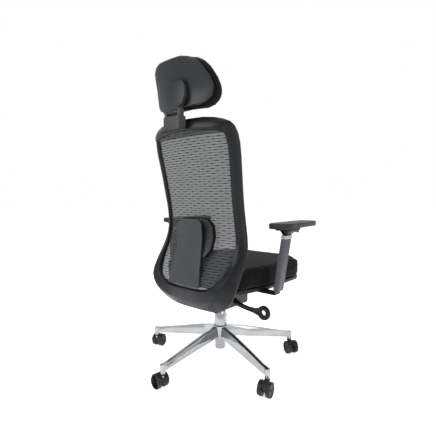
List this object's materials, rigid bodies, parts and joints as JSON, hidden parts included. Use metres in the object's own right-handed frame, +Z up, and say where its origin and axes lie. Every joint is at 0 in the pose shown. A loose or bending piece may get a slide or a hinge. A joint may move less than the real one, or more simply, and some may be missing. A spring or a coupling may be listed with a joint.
{
  "type": "swivel office chair",
  "caption": "Mesh-back swivel office chair on a five-star base with twin-wheel casters, gas lift, tilt mechanism, height-adjustable arms, lumbar support and headrest.",
  "frame": {"origin": "middle of the bounding box, at floor level", "axes": "+Z up; +Y towards the chair's back, so a sitter faces -Y; +X to the sitter's left"},
  "size_m": [0.6953, 0.719, 1.236],
  "materials": {
    "black_steel": "black powder coat on pressed steel",
    "grey_nylon": "moulded grey nylon, satin",
    "chromed_steel": "bright chrome plate",
    "grey_polypropylene": "moulded grey polypropylene, satin",
    "black_polyurethane": "soft black polyurethane, fine grain",
    "black_nylon": "moulded black nylon, satin",
    "grey_mesh_fabric": "stretched grey woven mesh",
    "polished_aluminium": "polished die casting",
    "ground_steel": "ground and plated steel",
    "black_fabric": "black woven upholstery over foam",
    "light_grey_nylon": "moulded grey nylon, fine grain"
  },
  "bodies": {
    "base": {"base_star": "polished_aluminium", "stand_tube": "chromed_steel", "guide_bush": "black_nylon", "thrust_bearing": "ground_steel", "caster_1_stem": "ground_steel", "caster_2_stem": "ground_steel", "caster_3_stem": "ground_steel", "caster_4_stem": "ground_steel", "caster_5_stem": "ground_steel"},
    "spindle": {"piston_rod": "chromed_steel"},
    "column": {"pressure_tube": "chromed_steel", "mechanism_housing": "black_steel", "seat_pivot_pin": "ground_steel", "tension_spring": "ground_steel"},
    "valve": {"valve_button": "ground_steel"},
    "lift_lever": {"height_lever": "black_nylon"},
    "lock_lever": {"tilt_lever": "black_nylon"},
    "knob": {"tension_knob": "black_nylon"},
    "back": {"tilt_link": "black_steel", "back_frame": "grey_nylon", "back_mesh": "grey_mesh_fabric", "lumbar_bracket": "light_grey_nylon"},
    "seat": {"seat_plate": "black_steel", "seat_shell": "grey_nylon", "seat_cushion": "black_fabric", "arm_bracket_left": "black_steel", "arm_cover_left": "grey_polypropylene", "arm_collar_left": "chromed_steel", "arm_bracket_right": "black_steel", "arm_cover_right": "grey_polypropylene", "arm_collar_right": "chromed_steel"},
    "lumbar": {"lumbar_shell": "light_grey_nylon", "lumbar_pad": "black_fabric"},
    "neck": {"headrest_neck": "grey_nylon"},
    "head": {"headrest_arm": "grey_nylon", "headrest_shell": "grey_nylon", "headrest_pad": "black_fabric"},
    "arm_left": {"arm_post_left": "black_nylon"},
    "button_left": {"arm_button_left": "grey_nylon"},
    "turntable_left": {"arm_turntable_left": "black_nylon"},
    "pad_left": {"arm_pad_left": "black_polyurethane"},
    "arm_right": {"arm_post_right": "black_nylon"},
    "button_right": {"arm_button_right": "grey_nylon"},
    "turntable_right": {"arm_turntable_right": "black_nylon"},
    "pad_right": {"arm_pad_right": "black_polyurethane"},
    "caster_1": {"caster_1_housing": "black_nylon"},
    "caster_1_wheel_left_body": {"caster_1_wheel_left": "black_nylon"},
    "caster_1_wheel_right_body": {"caster_1_wheel_right": "black_nylon"},
    "caster_2": {"caster_2_housing": "black_nylon"},
    "caster_2_wheel_left_body": {"caster_2_wheel_left": "black_nylon"},
    "caster_2_wheel_right_body": {"caster_2_wheel_right": "black_nylon"},
    "caster_3": {"caster_3_housing": "black_nylon"},
    "caster_3_wheel_left_body": {"caster_3_wheel_left": "black_nylon"},
    "caster_3_wheel_right_body": {"caster_3_wheel_right": "black_nylon"},
    "caster_4": {"caster_4_housing": "black_nylon"},
    "caster_4_wheel_left_body": {"caster_4_wheel_left": "black_nylon"},
    "caster_4_wheel_right_body": {"caster_4_wheel_right": "black_nylon"},
    "caster_5": {"caster_5_housing": "black_nylon"},
    "caster_5_wheel_left_body": {"caster_5_wheel_left": "black_nylon"},
    "caster_5_wheel_right_body": {"caster_5_wheel_right": "black_nylon"}
  },
  "joints": [
    {"name": "seat_swivel", "type": "hinge", "parent": "base", "child": "spindle", "pos_m": [0, 0.003, 0.1], "axis": [0, 0, 1], "continuous": true},
    {"name": "gas_lift", "type": "slide", "parent": "spindle", "child": "column", "axis": [0, 0, 1], "range_m": [0, 0.1]},
    {"name": "valve_press", "type": "slide", "parent": "column", "child": "valve", "axis": [0, 0, 1], "range_m": [-0.004, 0], "stiffness_N_per_m": 800, "springref_m": 0.0005},
    {"name": "lift_lever_turn", "type": "hinge", "parent": "column", "child": "lift_lever", "pos_m": [-0.06, 0.003, 0.2805], "axis": [0, 1, 0], "range_deg": [0, 3.5]},
    {"name": "lock_lever_turn", "type": "hinge", "parent": "column", "child": "lock_lever", "pos_m": [0, 0.003, 0.282], "axis": [1, 0, 0], "range_deg": [0, 25]},
    {"name": "tension_knob_turn", "type": "hinge", "parent": "column", "child": "knob", "pos_m": [0, -0.147, 0.282], "axis": [0, 1, 0], "continuous": true},
    {"name": "recline", "type": "hinge", "parent": "column", "child": "back", "pos_m": [0, 0.048, 0.276], "axis": [-1, 0, 0], "range_deg": [0, 20], "stiffness_Nm_per_rad": 60, "springref_deg": -34.38},
    {"name": "seat_tilt", "type": "hinge", "parent": "column", "child": "seat", "pos_m": [0, -0.092, 0.306], "axis": [-1, 0, 0], "range_deg": [0, 6]},
    {"name": "lumbar_height", "type": "slide", "parent": "back", "child": "lumbar", "axis": [0, -0.1961, 0.9806], "range_m": [-0.0125, 0.006]},
    {"name": "neck_height", "type": "slide", "parent": "back", "child": "neck", "axis": [0, 0, 1], "range_m": [0, 0.04]},
    {"name": "headrest_tilt", "type": "hinge", "parent": "neck", "child": "head", "pos_m": [0, 0.269, 1.03], "axis": [-1, 0, 0], "range_deg": [-8, 20]},
    {"name": "arm_left_height", "type": "slide", "parent": "seat", "child": "arm_left", "axis": [0.0984, -0.1105, 0.989], "range_m": [0, 0.08]},
    {"name": "arm_left_button", "type": "slide", "parent": "arm_left", "child": "button_left", "axis": [0, 1, 0], "range_m": [0, 0.0018], "stiffness_N_per_m": 900, "springref_m": -0.0008},
    {"name": "arm_left_yaw", "type": "hinge", "parent": "arm_left", "child": "turntable_left", "pos_m": [0.31708, -0.01991, 0.59], "axis": [0, 0, 1], "range_deg": [-20, 20]},
    {"name": "arm_left_slide", "type": "slide", "parent": "turntable_left", "child": "pad_left", "axis": [0, 1, 0], "range_m": [-0.025, 0.025]},
    {"name": "arm_right_height", "type": "slide", "parent": "seat", "child": "arm_right", "axis": [-0.0984, -0.1105, 0.989], "range_m": [0, 0.08]},
    {"name": "arm_right_button", "type": "slide", "parent": "arm_right", "child": "button_right", "axis": [0, 1, 0], "range_m": [0, 0.0018], "stiffness_N_per_m": 900, "springref_m": -0.0008},
    {"name": "arm_right_yaw", "type": "hinge", "parent": "arm_right", "child": "turntable_right", "pos_m": [-0.31708, -0.01991, 0.59], "axis": [0, 0, 1], "range_deg": [-20, 20]},
    {"name": "arm_right_slide", "type": "slide", "parent": "turntable_right", "child": "pad_right", "axis": [0, 1, 0], "range_m": [-0.025, 0.025]},
    {"name": "caster_1_swivel", "type": "hinge", "parent": "base", "child": "caster_1", "pos_m": [0.3149, 0.10168, 0.04], "axis": [0, 0, 1], "continuous": true},
    {"name": "caster_1_wheel_left_spin", "type": "hinge", "parent": "caster_1", "child": "caster_1_wheel_left_body", "pos_m": [0.31986, 0.08438, 0.026], "axis": [0.9613, 0.2756, 0], "continuous": true},
    {"name": "caster_1_wheel_right_spin", "type": "hinge", "parent": "caster_1", "child": "caster_1_wheel_right_body", "pos_m": [0.31986, 0.08438, 0.026], "axis": [0.9613, 0.2756, 0], "continuous": true},
    {"name": "caster_2_swivel", "type": "hinge", "parent": "base", "child": "caster_2", "pos_m": [0.00346, 0.33298, 0.04], "axis": [0, 0, 1], "continuous": true},
    {"name": "caster_2_wheel_left_spin", "type": "hinge", "parent": "caster_2", "child": "caster_2_wheel_left_body", "pos_m": [0.02139, 0.33141, 0.026], "axis": [0.0872, 0.9962, 0], "continuous": true},
    {"name": "caster_2_wheel_right_spin", "type": "hinge", "parent": "caster_2", "child": "caster_2_wheel_right_body", "pos_m": [0.02139, 0.33141, 0.026], "axis": [0.0872, 0.9962, 0], "continuous": true},
    {"name": "caster_3_swivel", "type": "hinge", "parent": "base", "child": "caster_3", "pos_m": [-0.31276, 0.10826, 0.04], "axis": [0, 0, 1], "continuous": true},
    {"name": "caster_3_wheel_left_spin", "type": "hinge", "parent": "caster_3", "child": "caster_3_wheel_left_body", "pos_m": [-0.3162, 0.12593, 0.026], "axis": [-0.9816, -0.1908, 0], "continuous": true},
    {"name": "caster_3_wheel_right_spin", "type": "hinge", "parent": "caster_3", "child": "caster_3_wheel_right_body", "pos_m": [-0.3162, 0.12593, 0.026], "axis": [-0.9816, -0.1908, 0], "continuous": true},
    {"name": "caster_4_swivel", "type": "hinge", "parent": "base", "child": "caster_4", "pos_m": [-0.19675, -0.26193, 0.04], "axis": [0, 0, 1], "continuous": true},
    {"name": "caster_4_wheel_left_spin", "type": "hinge", "parent": "caster_4", "child": "caster_4_wheel_left_body", "pos_m": [-0.2125, -0.2532, 0.026], "axis": [-0.4848, -0.8746, 0], "continuous": true},
    {"name": "caster_4_wheel_right_spin", "type": "hinge", "parent": "caster_4", "child": "caster_4_wheel_right_body", "pos_m": [-0.2125, -0.2532, 0.026], "axis": [-0.4848, -0.8746, 0], "continuous": true},
    {"name": "caster_5_swivel", "type": "hinge", "parent": "base", "child": "caster_5", "pos_m": [0.19116, -0.26599, 0.04], "axis": [0, 0, 1], "continuous": true},
    {"name": "caster_5_wheel_left_spin", "type": "hinge", "parent": "caster_5", "child": "caster_5_wheel_left_body", "pos_m": [0.20495, -0.25442, 0.026], "axis": [-0.6428, 0.766, 0], "continuous": true},
    {"name": "caster_5_wheel_right_spin", "type": "hinge", "parent": "caster_5", "child": "caster_5_wheel_right_body", "pos_m": [0.20495, -0.25442, 0.026], "axis": [-0.6428, 0.766, 0], "continuous": true}
  ],
  "couplings": [
    {"joint": "valve_press", "follows": "lift_lever_turn", "m_per_rad": -0.06},
    {"joint": "seat_tilt", "follows": "recline", "ratio": 0.3}
  ]
}
